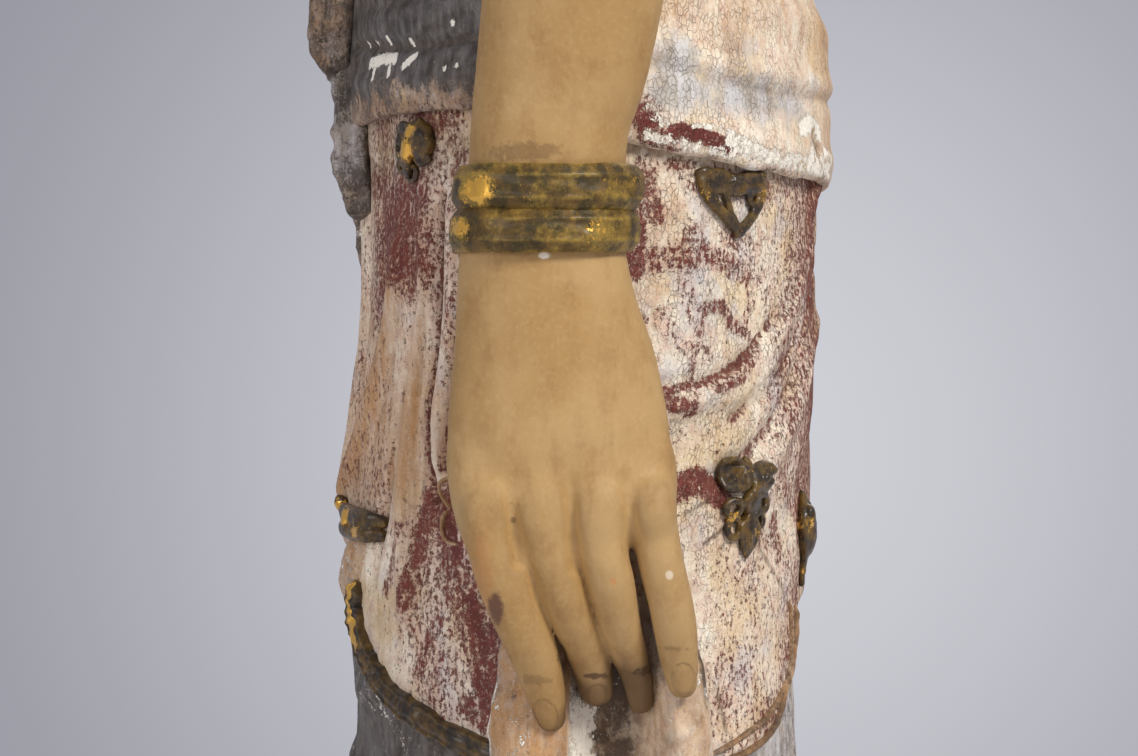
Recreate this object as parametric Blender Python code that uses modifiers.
"""Standing bodhisattva, carved in wood and painted, on a low lotus plinth.

Metres, +Z up. The figure faces -Y, and its left arm hangs at +X. The origin is the centre of the
plinth's underside. The figure is modelled with its soles at zero and then set on the plinth.
"""

import math

import bmesh
import bpy
from mathutils import Matrix, Vector

# Driving dimensions
SKULL = 1.000  # sole to the top of the skull; the levels below are read on that scale
PLINTH_HEIGHT = 0.070
PLINTH_HALF_WIDTH = 0.175
PLINTH_HALF_DEPTH = 0.150
PETALS = 12
JOINT_GAP = 0.0003  # between pieces that touch
FITTING_GROWTH = 0.0006  # the body's, where applied work is fitted to it

# The body's outline: level, half width, depth to the front, depth to the back
BODY = (
    (0.000, 0.110, 0.081, 0.079),
    (0.030, 0.107, 0.079, 0.076),
    (0.120, 0.096, 0.070, 0.067),
    (0.250, 0.088, 0.061, 0.058),
    (0.360, 0.087, 0.0566, 0.0554),
    (0.420, 0.089, 0.0560, 0.0550),
    (0.470, 0.092, 0.0530, 0.0566),
    (0.500, 0.0935, 0.0520, 0.0578),
    (0.525, 0.092, 0.0520, 0.0560),
    (0.545, 0.088, 0.0510, 0.0515),
    (0.605, 0.068, 0.0440, 0.0430),
    (0.680, 0.078, 0.0500, 0.0460),
    (0.740, 0.094, 0.0560, 0.0500),
    (0.780, 0.102, 0.0520, 0.0480),
    (0.808, 0.094, 0.0420, 0.0430),
    (0.830, 0.060, 0.0330, 0.0360),
    (0.846, 0.034, 0.0300, 0.0320),
    (0.880, 0.029, 0.0280, 0.0290),
)
BODY_COLUMNS = 32

# The three layers of dress: under-skirt, upper skirt, and the upper skirt's top folded over the hips
UNDER_HEM, UNDER_HEM_LIFT = 0.008, 0.024
SOLE_INSET = 0.016  # the block between the feet, set back under the under-skirt
STEP_HEIGHT = 0.0010
HEM_FRONT, HEM_SIDE, HEM_BACK = 0.4125, 0.3630, 0.3980  # the upper skirt's hem, low at each side
HEM_ROUND = 1.3  # the larger, the more of the hem stays high
OVERFOLD_FRONT, OVERFOLD_BACK = 0.5115, 0.4945  # lower edge of the folded-over top
WAIST = 0.606
UNDER_INSET = 0.0026
OVERFOLD_THICKNESS = 0.0042

# Folds
UNDER_PLEATS, UNDER_PLEAT_DEPTH = 10, 0.0034
FRONT_PLEATS, FRONT_PLEAT_DEPTH = 10, 0.0018
SWAG_PITCH, SWAG_DEPTH, SWAG_RISE = 0.036, 0.0014, 0.060
OVERFOLD_ROLL_PITCH, OVERFOLD_ROLL_DEPTH = 0.034, 0.0010

# Limbs: the hanging left hand lies in the plane x = HAND_PLANE
HAND_PLANE = 0.122
LEFT_WRIST = Vector((HAND_PLANE, -0.0067, 0.4824))
RIGHT_WRIST = Vector((-0.104, -0.086, 0.690))
WRIST_HALF_WIDTH, WRIST_HALF_THICKNESS = 0.0160, 0.0130
BRACELET_HEIGHT, BRACELET_PROUD = 0.0086, 0.0028
BRACELET_PITCH = 0.0091
END_REACH, END_SHARE = 0.70, 0.66  # a limb's rounded end, in shares of its thickness and width

# Applied, moulded work: ornaments stuck on the skirt and the border along its hem
ORNAMENTS = (  # name, turn from the left side towards the back, level, half width, half height
    ("flower_boss_{}_front", -43.5, 0.5001, 0.0052, 0.0062),
    ("tassel_boss_{}_back", 37.0, 0.4875, 0.0085, 0.0074),
    ("flower_boss_{}_back", 41.0, 0.4200, 0.0072, 0.0112),
    ("leaf_boss_{}_back", 69.0, 0.4130, 0.0046, 0.0082),
    ("clasp_{}_front", -66.0, 0.4160, 0.0105, 0.0044),
)
ORNAMENT_PROUD = 0.0042
BAND_RADIUS = 0.0024
BAND_ABOVE_HEM = 0.0020
BAND_REACH_DEG = 66.0  # to the front and to the back of each side
BAND_POINTS = 14

FLESH, LACQUER, GILT = (0.45, 0.29, 0.13), (0.22, 0.07, 0.05), (0.10, 0.075, 0.035)


def smoothstep(low, high, value):
    share = min(1.0, max(0.0, (value - low) / (high - low)))
    return share * share * (3.0 - 2.0 * share)


def catmull_rom(stations, key):
    """A row of numbers from rows that start with their key, on a smooth curve through them."""
    if key <= stations[0][0]:
        return stations[0][1:]
    if key >= stations[-1][0]:
        return stations[-1][1:]
    last = len(stations) - 1
    at = next(i for i in range(last) if stations[i + 1][0] > key)
    before, low, high, after = (stations[min(last, max(0, at + k))] for k in (-1, 0, 1, 2))
    span = high[0] - low[0]
    t = (key - low[0]) / span
    row = []
    for i in range(1, len(low)):
        slope_low = (high[i] - before[i]) / (high[0] - before[0]) * span
        slope_high = (after[i] - low[i]) / (after[0] - low[0]) * span
        row.append(
            (2 * t**3 - 3 * t**2 + 1) * low[i]
            + (t**3 - 2 * t**2 + t) * slope_low
            + (-2 * t**3 + 3 * t**2) * high[i]
            + (t**3 - t**2) * slope_high
        )
    return row


# ---------------------------------------------------------------- scene helpers


def clear_scene():
    for old in list(bpy.data.objects):
        bpy.data.objects.remove(old, do_unlink=True)


def collection(name):
    made = bpy.data.collections.new(name)
    bpy.context.scene.collection.children.link(made)
    return made


def material(name, colour, roughness, metallic=0.0):
    made = bpy.data.materials.new(name)
    made.use_nodes = True
    shader = made.node_tree.nodes["Principled BSDF"]
    shader.inputs["Base Color"].default_value = (*colour, 1.0)
    shader.inputs["Roughness"].default_value = roughness
    shader.inputs["Metallic"].default_value = metallic
    return made


def add_object(name, mesh, home, paint=None):
    made = bpy.data.objects.new(name, mesh)
    home.objects.link(made)
    if paint:
        mesh.materials.append(paint)
    return made


def as_helper(made):
    """A shape that only serves to build another: it isn't a piece of the statue."""
    made.hide_render = True
    made.display_type = "WIRE"
    return made


def loft(name, rings, home, paint=None):
    """A closed solid through rings of equally many points, flat at both ends."""
    shape = bmesh.new()
    rows = [[shape.verts.new(point) for point in ring] for ring in rings]
    count = len(rows[0])
    for lower, upper in zip(rows, rows[1:]):
        for i in range(count):
            j = (i + 1) % count
            shape.faces.new((lower[i], lower[j], upper[j]))
            shape.faces.new((lower[i], upper[j], upper[i]))
    shape.faces.new(reversed(rows[0]))
    shape.faces.new(rows[-1])
    bmesh.ops.recalc_face_normals(shape, faces=shape.faces)
    mesh = bpy.data.meshes.new(name)
    shape.to_mesh(mesh)
    shape.free()
    mesh.shade_smooth()
    mesh.set_sharp_from_angle(angle=math.radians(40))
    return add_object(name, mesh, home, paint)


def oval(centre, side, front, count):
    """Points round centre, with the half axes side and front."""
    turns = (2 * math.pi * i / count for i in range(count))
    return [centre + math.cos(turn) * side + math.sin(turn) * front for turn in turns]


def limb(name, stations, facing, sides, steps, home):
    """A rounded limb through stations of (x, y, z, half width, half thickness).

    facing is the way its thickness is measured. Each end closes in one smaller ring.
    """
    keyed = [(float(i), *station) for i, station in enumerate(stations)]
    last = len(stations) - 1
    rows = [catmull_rom(keyed, last * i / steps) for i in range(steps + 1)]
    centres = [Vector(row[:3]) for row in rows]
    rings = []
    for i, row in enumerate(rows):
        along = (centres[min(steps, i + 1)] - centres[max(0, i - 1)]).normalized()
        side = along.cross(facing).normalized()
        front = side.cross(along).normalized()
        half_width, half_thickness = row[3:5]
        sections = [(0.0, 1.0)]
        if i == 0:
            sections.insert(0, (-END_REACH, END_SHARE))
        if i == steps:
            sections.append((END_REACH, END_SHARE))
        for ahead, share in sections:
            centre = centres[i] + along * ahead * half_thickness
            rings.append(oval(centre, side * half_width * share, front * half_thickness * share, sides))
    return as_helper(loft(name, rings, home))


def ball(name, centre, half_sizes, home, segments=14, rows=9):
    bpy.ops.mesh.primitive_uv_sphere_add(segments=segments, ring_count=rows, radius=1.0)
    made = bpy.context.object
    made.name = name
    made.data.transform(Matrix.Translation(centre) @ Matrix.Diagonal((*half_sizes, 1.0)))
    made.users_collection[0].objects.unlink(made)
    home.objects.link(made)
    return as_helper(made)


# ---------------------------------------------------------------- body and dress


def under_hem_level(turn):
    """The under-skirt's hem: on the plinth's top at the back, lifted over the feet in front."""
    return UNDER_HEM + UNDER_HEM_LIFT * smoothstep(0.35, 0.95, -math.sin(turn))


def hem_level(turn):
    """The upper skirt's hem: high at front and back, hanging at the sides."""
    gather = HEM_BACK if math.sin(turn) > 0 else HEM_FRONT
    return gather - (gather - HEM_SIDE) * abs(math.cos(turn)) ** HEM_ROUND


def overfold_level(turn):
    middle, half = (OVERFOLD_FRONT + OVERFOLD_BACK) / 2, (OVERFOLD_FRONT - OVERFOLD_BACK) / 2
    return middle - half * math.sin(turn)


def under_skirt_fold(turn, level):
    depth = UNDER_PLEAT_DEPTH * smoothstep(0.34, 0.06, level)
    return depth * math.sin(UNDER_PLEATS * turn)


def upper_skirt_fold(turn, level):
    """Upright pleats on the front half, swags that hang to the side on the back half."""
    facing_back = math.sin(turn)
    pleats = FRONT_PLEAT_DEPTH * math.cos(FRONT_PLEATS * (turn + math.pi / 2))
    pleats *= smoothstep(-0.45, -0.8, facing_back)
    swag_line = level - SWAG_RISE * (1 - abs(math.cos(turn)))
    swags = SWAG_DEPTH * math.sin(2 * math.pi * swag_line / SWAG_PITCH)
    swags *= smoothstep(0.1, 0.6, facing_back) * smoothstep(0.385, 0.42, level)
    return pleats + swags


def overfold_fold(turn, level):
    above_edge = level - overfold_level(turn)
    roll = math.cos(2 * math.pi * above_edge / OVERFOLD_ROLL_PITCH)
    return OVERFOLD_ROLL_DEPTH * roll * smoothstep(WAIST, WAIST - 0.03, level)


def body_ring(level_at, proud, fold):
    """One ring of the body. level_at(turn) gives its level, so that a ring can follow a hem."""
    ring = []
    for column in range(BODY_COLUMNS):
        turn = 2 * math.pi * column / BODY_COLUMNS
        level = level_at(turn)
        half_width, front, back = catmull_rom(BODY, level)
        out = proud + (fold(turn, level) if fold else 0.0)
        half_depth = back if math.sin(turn) > 0 else front
        x = (half_width + out) * math.cos(turn)
        y = (half_depth + out) * math.sin(turn)
        ring.append(Vector((x, y, level)))
    return ring


def between(low_at, high_at, share):
    return lambda turn: low_at(turn) + (high_at(turn) - low_at(turn)) * share


def carve_body(name, home, paint=None, growth=0.0):
    """Under-skirt, upper skirt, overfold and bare torso as one loft, with a step at each hem.

    growth makes it larger all round, for what is fitted to it.
    """
    def level(value):
        return lambda turn: value

    def just_under(line):
        return lambda turn: line(turn) - STEP_HEIGHT

    sections = (
        (level(0.0), just_under(under_hem_level), 2, -SOLE_INSET, None),
        (under_hem_level, just_under(hem_level), 6, -UNDER_INSET, under_skirt_fold),
        (hem_level, just_under(overfold_level), 7, 0.0, upper_skirt_fold),
        (overfold_level, level(WAIST), 5, OVERFOLD_THICKNESS, overfold_fold),
        (level(WAIST + 0.004), level(BODY[-1][0]), 7, 0.0, None),
    )
    rings = []
    for low_at, high_at, count, proud, fold in sections:
        for i in range(count):
            rings.append(body_ring(between(low_at, high_at, i / (count - 1)), proud + growth, fold))
    made = loft(name, rings, home, paint)
    made.location.z = PLINTH_HEIGHT - growth
    return made


# ---------------------------------------------------------------- arms, hands and feet


def left_finger_stations():
    """Stations of the hanging hand's digits, in the hand's plane: across (y), level, lift, half sizes."""
    digits = {
        "index": ((-0.0190, 0.430, 0.001, 0.0056, 0.0058), (-0.0150, 0.409, 0.005, 0.0056, 0.0054),
                  (-0.0100, 0.396, 0.001, 0.0050, 0.0048), (-0.0048, 0.3795, -0.008, 0.0034, 0.0032)),
        "middle": ((-0.0075, 0.430, 0.002, 0.0050, 0.0058), (-0.0036, 0.4075, 0.007, 0.0047, 0.0050),
                   (0.0014, 0.3962, 0.002, 0.0042, 0.0044), (0.0039, 0.3862, -0.010, 0.0030, 0.0030)),
        "ring": ((0.0040, 0.430, 0.002, 0.0050, 0.0058), (0.0066, 0.4075, 0.007, 0.0047, 0.0050),
                 (0.0100, 0.3950, 0.001, 0.0040, 0.0042), (0.0134, 0.3835, -0.011, 0.0028, 0.0028)),
        "little": ((0.0145, 0.430, 0.000, 0.0048, 0.0054), (0.0175, 0.4080, 0.004, 0.0046, 0.0048),
                   (0.0198, 0.3965, 0.001, 0.0042, 0.0042), (0.0213, 0.3860, -0.006, 0.0028, 0.0028)),
        "thumb": ((-0.0170, 0.458, -0.010, 0.0070, 0.0065), (-0.0180, 0.435, -0.018, 0.0060, 0.0058),
                  (-0.0100, 0.415, -0.022, 0.0050, 0.0048), (-0.0020, 0.400, -0.020, 0.0038, 0.0036)),
    }
    for name, stations in digits.items():
        yield name, [(HAND_PLANE + lift, across, level, w, t) for across, level, lift, w, t in stations]


def carve_left_arm(home):
    outward = Vector((1, 0, 0))
    arm = (
        (0.100, 0.000, 0.796, 0.024, 0.0215),
        (0.116, 0.004, 0.745, 0.0225, 0.0205),
        (0.132, 0.013, 0.670, 0.0210, 0.0190),
        (0.135, 0.016, 0.625, 0.0210, 0.0190),
        (0.130, 0.008, 0.560, 0.0200, 0.0170),
        (0.125, -0.0030, 0.505, 0.0168, 0.0138),
        (HAND_PLANE, -0.0060, 0.470, 0.0162, 0.0128),
    )
    limb("left_arm", arm, outward, 10, 8, home)
    palm = (
        (HAND_PLANE, -0.0065, 0.478, 0.0160, 0.0125),
        (HAND_PLANE, -0.0055, 0.462, 0.0180, 0.0122),
        (HAND_PLANE, -0.0035, 0.444, 0.0222, 0.0115),
        (HAND_PLANE, -0.0020, 0.428, 0.0222, 0.0100),
        (HAND_PLANE + 0.001, -0.0010, 0.418, 0.0200, 0.0070),
    )
    limb("left_palm", palm, outward, 10, 5, home)
    for name, stations in left_finger_stations():
        limb("left_" + name, stations, outward, 6, 4, home)


def carve_right_arm(home):
    """Bent at the elbow, with the open hand raised and its palm to the front."""
    forward = Vector((0, -1, 0))
    wrist = RIGHT_WRIST
    upper = (
        (-0.100, 0.000, 0.796, 0.024, 0.0215),
        (-0.116, 0.006, 0.745, 0.0220, 0.0205),
        (-0.136, 0.020, 0.675, 0.0205, 0.0190),
        (-0.140, 0.019, 0.648, 0.0190, 0.0185),
    )
    limb("right_upper_arm", upper, Vector((-1, 0, 0)), 10, 5, home)
    fore = (
        (-0.139, 0.022, 0.652, 0.0185, 0.0185),
        (-0.132, -0.020, 0.662, 0.0190, 0.0180),
        (-0.116, -0.060, 0.676, 0.0165, 0.0150),
        (wrist.x, wrist.y, wrist.z, 0.0150, 0.0130),
    )
    limb("right_forearm", fore, Vector((0, 0, 1)), 10, 5, home)
    palm = (
        (wrist.x, wrist.y, wrist.z - 0.004, 0.0140, 0.0125),
        (wrist.x + 0.002, wrist.y - 0.010, wrist.z + 0.016, 0.0180, 0.0110),
        (wrist.x + 0.003, wrist.y - 0.013, wrist.z + 0.034, 0.0205, 0.0095),
        (wrist.x + 0.004, wrist.y - 0.014, wrist.z + 0.048, 0.0185, 0.0065),
    )
    limb("right_palm", palm, forward, 10, 4, home)
    lengths = {"index": 0.044, "middle": 0.048, "ring": 0.045, "little": 0.036}
    for i, (name, length) in enumerate(lengths.items()):
        across = 0.0150 - 0.0100 * i
        root = wrist + Vector((0.004 + across, -0.014, 0.046 - 0.002 * abs(i - 1)))
        bend = 0.010 if name in ("middle", "ring") else 0.003
        stations = (
            (root.x, root.y, root.z - 0.006, 0.0048, 0.0052),
            (root.x + 0.10 * across, root.y - bend * 0.3, root.z + 0.40 * length, 0.0046, 0.0048),
            (root.x + 0.16 * across, root.y - bend, root.z + 0.72 * length, 0.0040, 0.0042),
            (root.x + 0.20 * across, root.y - 2.0 * bend, root.z + 0.96 * length, 0.0029, 0.0030),
        )
        limb("right_" + name, stations, forward, 6, 4, home)
    thumb = (
        (wrist.x + 0.013, wrist.y - 0.012, wrist.z + 0.012, 0.0065, 0.0065),
        (wrist.x + 0.023, wrist.y - 0.022, wrist.z + 0.030, 0.0055, 0.0055),
        (wrist.x + 0.022, wrist.y - 0.029, wrist.z + 0.050, 0.0038, 0.0038),
    )
    limb("right_thumb", thumb, forward, 6, 4, home)


def carve_feet(home):
    for side in (-1, 1):
        foot = (
            (side * 0.034, -0.020, 0.020, 0.019, 0.0185),
            (side * 0.038, -0.062, 0.019, 0.020, 0.0180),
            (side * 0.043, -0.098, 0.0135, 0.021, 0.0125),
            (side * 0.045, -0.118, 0.0095, 0.018, 0.0085),
        )
        limb(f"foot_{side}", foot, Vector((0, 0, 1)), 8, 4, home)


def carve_bracelets(home):
    """Two bands round each wrist, carved on the arm."""
    wrists = (
        ("left", LEFT_WRIST, Vector((0, 0, -1)), Vector((1, 0, 0))),
        ("right", RIGHT_WRIST, Vector((0.12, -0.42, 0.90)).normalized(), Vector((0, -1, 0))),
    )
    outline = ((-0.5, 0.3), (0.0, 1.0), (0.5, 0.3))
    for word, wrist, along, facing in wrists:
        side = along.cross(facing).normalized()
        front = side.cross(along).normalized()
        for index in (-0.5, 0.5):
            rings = []
            for ahead, proud in outline:
                centre = wrist + along * (index * BRACELET_PITCH + ahead * BRACELET_HEIGHT)
                half_width = WRIST_HALF_WIDTH + proud * BRACELET_PROUD
                half_thickness = WRIST_HALF_THICKNESS + proud * BRACELET_PROUD
                rings.append(oval(centre, side * half_width, front * half_thickness, 12))
            as_helper(loft(f"bracelet_{word}_{index}", rings, home))


# ---------------------------------------------------------------- head


def carve_head(home):
    skull = (  # level, half width, half depth, where its middle lies front to back
        (0.8500, 0.015, 0.016, -0.038),
        (0.8580, 0.026, 0.028, -0.029),
        (0.8720, 0.037, 0.043, -0.016),
        (0.8950, 0.0450, 0.053, -0.009),
        (0.9270, 0.0485, 0.058, -0.006),
        (0.9550, 0.0485, 0.058, -0.004),
        (0.9760, 0.0450, 0.053, -0.003),
        (0.9910, 0.0340, 0.041, -0.002),
        (SKULL, 0.0160, 0.020, -0.001),
    )
    rings = [
        oval(Vector((0, centre, level)), Vector((half_width, 0, 0)), Vector((0, half_depth, 0)), 16)
        for level, half_width, half_depth, centre in skull
    ]
    as_helper(loft("skull", rings, home))
    nose = (
        (0, -0.0580, 0.926, 0.0045, 0.0050),
        (0, -0.0640, 0.912, 0.0050, 0.0055),
        (0, -0.0650, 0.900, 0.0068, 0.0060),
    )
    limb("nose", nose, Vector((0, -1, 0)), 6, 3, home)
    ball("hair_cap", Vector((0, 0.006, 0.955)), (0.0525, 0.0585, 0.0500), home, 12, 7)
    for side in (-1, 1):
        ear = (
            (side * 0.0485, 0.006, 0.932, 0.0100, 0.0050),
            (side * 0.0505, 0.006, 0.908, 0.0090, 0.0045),
            (side * 0.0500, 0.004, 0.876, 0.0062, 0.0040),
        )
        limb(f"ear_{side}", ear, Vector((side, 0, 0)), 6, 3, home)


def carve_chignon(home):
    """The piled hair: a turned shape, broad below, bound at half its height, and domed."""
    half_profile = (
        (0.000, 1.076), (0.015, 1.072), (0.025, 1.060), (0.029, 1.045),
        (0.026, 1.031), (0.024, 1.024), (0.032, 1.014), (0.036, 1.002), (0.034, 0.985), (0.000, 0.975),
    )
    mesh = bpy.data.meshes.new("chignon")
    points = [(x, 0.0, z) for x, z in half_profile]
    mesh.from_pydata(points, [(i, i + 1) for i in range(len(points) - 1)], [])
    made = as_helper(add_object("chignon", mesh, home))
    turn = made.modifiers.new("turned", "SCREW")
    turn.axis = "Z"
    turn.steps = turn.render_steps = 12
    turn.use_merge_vertices = True
    turn.merge_threshold = 0.0001
    made.location.y = 0.008


def carve_diadem(home):
    """A low band round the hair, with a leaf-shaped plaque over the brow and one over each temple."""
    half_width, half_depth, middle, level = 0.0515, 0.0590, 0.003, 0.962
    rings = []
    for rise, proud in ((-0.007, 0.0), (-0.007, 0.0035), (0.008, 0.0035), (0.008, 0.0)):
        side, front = Vector((half_width + proud, 0, 0)), Vector((0, half_depth + proud, 0))
        rings.append(oval(Vector((0, middle, level + rise)), side, front, 16))
    as_helper(loft("diadem_band", rings, home))
    for turn_deg, height in ((-90, 0.056), (-40, 0.044), (-140, 0.044)):
        turn = math.radians(turn_deg)
        out = Vector((half_width * math.cos(turn), half_depth * math.sin(turn), 0))
        foot = Vector((0, middle, level)) + out
        leaf = (
            (foot.x, foot.y, foot.z, 0.012, 0.0042),
            (foot.x, foot.y, foot.z + 0.45 * height, 0.017, 0.0042),
            (foot.x * 0.96, foot.y * 0.96, foot.z + height, 0.0045, 0.0025),
        )
        limb(f"diadem_leaf_{-turn_deg}", leaf, out.normalized(), 6, 4, home)


# ---------------------------------------------------------------- scarf, sash and necklace


def scarf_end_ring(centre_x, centre_y, level, half_width, half_depth, side):
    """One section of the hanging scarf: a channel, open to the outside, between two rolled edges."""
    count = 14
    ring = []
    for i in range(count):
        turn = 2 * math.pi * i / count
        across = math.cos(turn)
        out = math.sin(turn)
        valley = 0.75 * max(0.0, out) * (1 - smoothstep(0.15, 0.62, abs(across)))
        thick = half_depth * (0.8 + 0.35 * smoothstep(0.3, 0.8, abs(across)))
        x = centre_x + side * (out - valley) * thick
        ring.append(Vector((x, centre_y + across * half_width, level)))
    return ring


def carve_scarf_end(name, side, stations, home):
    rings = [scarf_end_ring(side * x, y, level, w, d, side) for level, x, y, w, d in stations]
    return as_helper(loft(name, rings, home))


def carve_scarf(home):
    left_end = (
        (0.412, 0.110, 0.0030, 0.0120, 0.0050),
        (0.394, 0.108, 0.0040, 0.0190, 0.0075),
        (0.372, 0.1065, 0.0047, 0.0232, 0.0090),
        (0.310, 0.103, 0.0050, 0.0245, 0.0095),
        (0.230, 0.100, 0.0048, 0.0275, 0.0100),
        (0.160, 0.100, 0.0040, 0.0290, 0.0090),
        (0.122, 0.098, 0.0030, 0.0160, 0.0060),
    )
    carve_scarf_end("scarf_end_left", 1, left_end, home)
    right_end = (
        (0.636, 0.142, -0.004, 0.0160, 0.0080),
        (0.540, 0.124, -0.002, 0.0185, 0.0090),
        (0.430, 0.107, 0.001, 0.0210, 0.0100),
        (0.320, 0.101, 0.003, 0.0235, 0.0100),
        (0.190, 0.099, 0.004, 0.0290, 0.0095),
        (0.140, 0.097, 0.003, 0.0170, 0.0060),
    )
    carve_scarf_end("scarf_end_right", -1, right_end, home)
    inner_left = (
        (0.092, 0.000, 0.806, 0.0320, 0.0110),
        (0.110, 0.000, 0.755, 0.0250, 0.0080),
        (0.118, 0.006, 0.690, 0.0160, 0.0040),
        (0.118, 0.006, 0.620, 0.0120, 0.0034),
        (0.114, -0.002, 0.545, 0.0100, 0.0034),
        (0.112, -0.005, 0.480, 0.0095, 0.0034),
        (0.111, 0.000, 0.430, 0.0110, 0.0040),
        (0.109, 0.003, 0.400, 0.0125, 0.0050),
    )
    limb("scarf_left", inner_left, Vector((1, 0, 0)), 8, 8, home)
    over_right = (
        (-0.092, 0.000, 0.806, 0.0320, 0.0110),
        (-0.114, 0.000, 0.755, 0.0260, 0.0090),
        (-0.138, -0.004, 0.700, 0.0200, 0.0060),
        (-0.151, -0.006, 0.655, 0.0170, 0.0070),
        (-0.142, -0.004, 0.620, 0.0165, 0.0070),
    )
    limb("scarf_right", over_right, Vector((-1, 0, 0)), 8, 5, home)
    shoulders = (
        (-0.098, 0.012, 0.790, 0.0250, 0.0085),
        (-0.064, 0.036, 0.800, 0.0320, 0.0075),
        (0.000, 0.047, 0.782, 0.0340, 0.0075),
        (0.064, 0.036, 0.800, 0.0320, 0.0075),
        (0.098, 0.012, 0.790, 0.0250, 0.0085),
    )
    limb("scarf_back", shoulders, Vector((0, 1, 0)), 8, 6, home)


def carve_sash(home):
    """The sash's knot over the belly, its loop, and two ends that fall over the upper skirt."""
    forward = Vector((0, -1, 0))
    loop = (
        (0.000, -0.0500, 0.575, 0.024, 0.0070),
        (0.000, -0.0550, 0.550, 0.021, 0.0070),
        (0.000, -0.0555, 0.530, 0.014, 0.0060),
    )
    limb("sash_loop", loop, forward, 8, 5, home)
    end = (
        (0.004, -0.0500, 0.545, 0.016, 0.0050),
        (0.005, -0.0520, 0.515, 0.017, 0.0055),
        (0.005, -0.0515, 0.492, 0.018, 0.0045),
    )
    limb("sash_end", end, forward, 8, 4, home)
    inner_end = (
        (-0.004, -0.0480, 0.510, 0.011, 0.0035),
        (-0.005, -0.0485, 0.485, 0.011, 0.0035),
        (-0.005, -0.0480, 0.463, 0.010, 0.0030),
    )
    limb("sash_inner_end", inner_end, forward, 6, 3, home)


def carve_necklace(home):
    bpy.ops.mesh.primitive_torus_add(
        major_segments=18, minor_segments=4, major_radius=0.048, minor_radius=0.0042
    )
    made = bpy.context.object
    made.name = "necklace"
    tilt = Matrix.Rotation(math.radians(38), 4, "X")
    made.data.transform(Matrix.Translation((0, -0.020, 0.807)) @ tilt)
    made.users_collection[0].objects.unlink(made)
    home.objects.link(made)
    as_helper(made)
    ball("pendant", Vector((0, -0.0590, 0.767)), (0.0090, 0.0050, 0.0115), home, 8, 5)


# ---------------------------------------------------------------- plinth and applied work


def make_plinth(home, paint):
    """A flat foot, a neck, one row of upturned petals and a flat top, all on one oval plan."""
    profile = (  # level, share of the plan, petal relief
        (0.000, 1.000, 0.0), (0.011, 1.000, 0.0), (0.018, 0.930, 0.0), (0.026, 0.925, 0.008),
        (0.042, 0.950, 0.030), (0.058, 0.962, 0.024), (0.066, 0.900, 0.0),
        (PLINTH_HEIGHT - JOINT_GAP, 0.890, 0.0),
    )
    columns = PETALS * 4
    rings = []
    for level, share, relief in profile:
        ring = []
        for column in range(columns):
            turn = 2 * math.pi * column / columns
            bulge = share - relief + relief * abs(math.cos(PETALS * turn / 2)) ** 0.7
            x = PLINTH_HALF_WIDTH * bulge * math.cos(turn)
            y = PLINTH_HALF_DEPTH * bulge * math.sin(turn)
            ring.append(Vector((x, y, level)))
        rings.append(ring)
    return loft("plinth", rings, home, paint)


def seat(piece, clearance):
    """Cuts a piece's back to the carving under it."""
    cut = piece.modifiers.new("seat", "BOOLEAN")
    cut.operation = "DIFFERENCE"
    cut.solver = "EXACT"
    cut.object = clearance
    return piece


def skirt_point(turn, level):
    half_width, front, back = catmull_rom(BODY, level)
    out = upper_skirt_fold(turn, level)
    half_depth = back if math.sin(turn) > 0 else front
    return Vector(((half_width + out) * math.cos(turn), (half_depth + out) * math.sin(turn), level))


def make_ornament(name, turn_deg, level, half_width, half_height, clearance, home, paint):
    """One applied flower, leaf or clasp: a low dome that stands on the skirt and faces away from it."""
    turn = math.radians(turn_deg)
    aside, above = 0.02, 0.01  # a little way round and up the skirt, for the way it faces there
    across = (skirt_point(turn + aside, level) - skirt_point(turn - aside, level)).normalized()
    upward = (skirt_point(turn, level + above) - skirt_point(turn, level - above)).normalized()
    out = across.cross(upward).normalized()
    if out.dot(Vector((math.cos(turn), math.sin(turn), 0))) < 0:
        out.negate()
    bpy.ops.mesh.primitive_uv_sphere_add(segments=8, ring_count=5, radius=1.0)
    made = bpy.context.object
    made.name = name
    sizes = Matrix.Diagonal((half_width, half_height, ORNAMENT_PROUD, 1.0))
    frame = Matrix((across, upward, out)).transposed().to_4x4()
    made.data.transform(frame @ sizes)
    made.location = skirt_point(turn, level) + Vector((0, 0, PLINTH_HEIGHT))
    made.users_collection[0].objects.unlink(made)
    home.objects.link(made)
    made.data.materials.append(paint)
    return seat(made, clearance)


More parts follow.
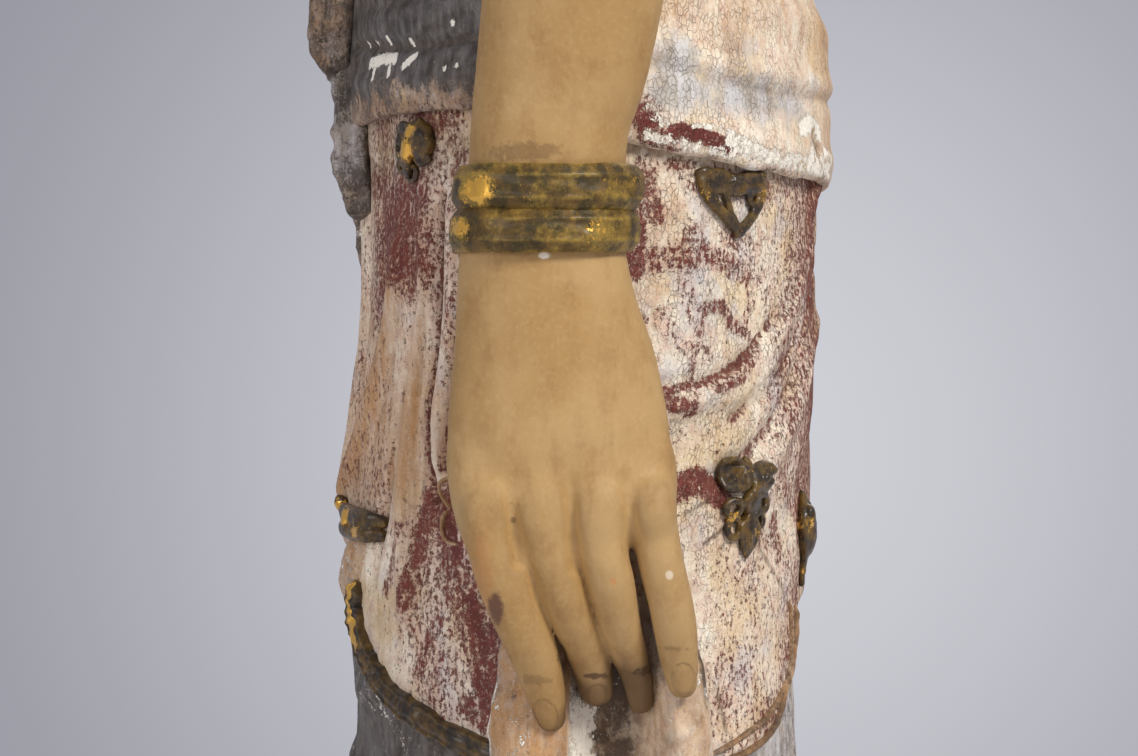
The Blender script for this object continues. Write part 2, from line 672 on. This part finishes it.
def make_hem_band(name, side, clearance, home, paint):
    """The gilt border laid along the upper skirt's hem on one side, from the front gather to the back."""
    reach = math.radians(BAND_REACH_DEG)
    curve = bpy.data.curves.new(name, "CURVE")
    curve.dimensions = "3D"
    curve.bevel_depth = BAND_RADIUS
    curve.bevel_resolution = 1
    curve.use_fill_caps = True
    line = curve.splines.new("POLY")
    line.points.add(BAND_POINTS - 1)
    for i in range(BAND_POINTS):
        away = -reach + 2 * reach * i / (BAND_POINTS - 1)
        turn = away if side > 0 else math.pi - away
        point = skirt_point(turn, hem_level(turn) + BAND_ABOVE_HEM)
        line.points[i].co = (*point, 1.0)
    source = bpy.data.objects.new(name + "_line", curve)
    home.objects.link(source)
    source.location.z = PLINTH_HEIGHT
    bpy.context.view_layer.update()
    graph = bpy.context.evaluated_depsgraph_get()
    mesh = bpy.data.meshes.new_from_object(source.evaluated_get(graph))
    joined = bmesh.new()
    joined.from_mesh(mesh)
    bmesh.ops.remove_doubles(joined, verts=joined.verts, dist=0.00001)
    joined.to_mesh(mesh)
    joined.free()
    made = add_object(name, mesh, home, paint)
    made.matrix_world = source.matrix_world.copy()
    bpy.data.objects.remove(source)
    return seat(made, clearance)


def main():
    clear_scene()
    statue = collection("standing_bodhisattva")
    carving = collection("carving_shapes")
    carving.hide_render = True

    painted = material("painted_wood", FLESH, 0.55)
    lacquer = material("plinth_lacquer", LACQUER, 0.45)
    gilt = material("gilt_paste", GILT, 0.40, 0.4)

    figure = carve_body("figure", statue, painted)
    for carve in (carve_left_arm, carve_right_arm, carve_bracelets, carve_feet, carve_head,
                  carve_chignon, carve_diadem, carve_scarf, carve_sash, carve_necklace):
        carve(carving)
    for shape in carving.objects:
        shape.location.z += PLINTH_HEIGHT
    join = figure.modifiers.new("carved_in_one", "BOOLEAN")
    join.operation = "UNION"
    join.solver = "EXACT"
    join.operand_type = "COLLECTION"
    join.collection = carving

    helpers = collection("fitting_shapes")
    helpers.hide_render = True
    clearance = as_helper(carve_body("fitting_body", helpers, growth=FITTING_GROWTH))

    make_plinth(statue, lacquer)
    for side, word in ((1, "left"), (-1, "right")):
        for name, turn_deg, level, half_width, half_height in ORNAMENTS:
            around = turn_deg if side > 0 else 180 - turn_deg
            make_ornament(name.format(word), around, level, half_width, half_height, clearance, statue, gilt)
        make_hem_band(f"hem_band_{word}", side, clearance, statue, gilt)


main()
